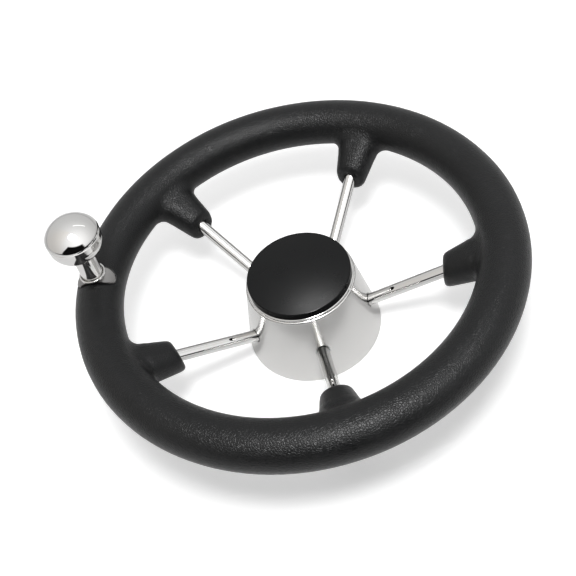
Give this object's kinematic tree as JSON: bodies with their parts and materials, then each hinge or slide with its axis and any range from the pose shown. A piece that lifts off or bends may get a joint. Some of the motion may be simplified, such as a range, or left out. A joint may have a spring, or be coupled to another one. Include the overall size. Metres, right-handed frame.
{
  "type": "boat steering wheel",
  "caption": "Five-spoke dished steering wheel with a foam grip, a conical hub with a domed cap, and a spinner knob on the rim.",
  "frame": {"origin": "centre of the mouth of the tapered shaft bore, on the hub core's lower face", "axes": "+Z along the wheel's axis towards the driver, -Y along the front spoke, +X to the right"},
  "size_m": [0.3434, 0.3434, 0.1588],
  "materials": {
    "polished_steel": "polished stainless steel",
    "turned_steel": "turned stainless steel",
    "cone_steel": "spun stainless steel, satin to bright",
    "trim_steel": "polished stainless steel",
    "saddle_steel": "cast stainless steel, polished",
    "collar_steel": "turned stainless steel, polished",
    "knob_steel": "pressed stainless steel, mirror polished",
    "cap_plastic": "moulded black plastic, glossy",
    "seal_rubber": "black rubber cord ring",
    "bush_plastic": "natural acetal",
    "foam": "self-skinned black polyurethane foam with a fine leather grain"
  },
  "bodies": {
    "wheel": {"rim_ring": "polished_steel", "foam_grip": "foam", "hub_core": "turned_steel", "hub_cone": "cone_steel", "trim_ring": "trim_steel", "hub_cap": "cap_plastic", "cap_seal": "seal_rubber", "knob_saddle": "saddle_steel", "knob_collar": "collar_steel", "knob_spindle": "turned_steel", "knob_washer": "turned_steel", "knob_nut": "turned_steel", "spoke_1": "polished_steel", "spoke_2": "polished_steel", "spoke_3": "polished_steel", "spoke_4": "polished_steel", "spoke_5": "polished_steel"},
    "knob": {"knob_stem": "knob_steel", "knob_dome": "knob_steel", "knob_bush_lower": "bush_plastic", "knob_bush_upper": "bush_plastic"}
  },
  "joints": [
    {"name": "knob_spin", "type": "hinge", "parent": "wheel", "child": "knob", "pos_m": [-0.14892, 0.03356, 0.09369], "axis": [0.0374, -0.0084, 0.9993], "continuous": true}
  ]
}
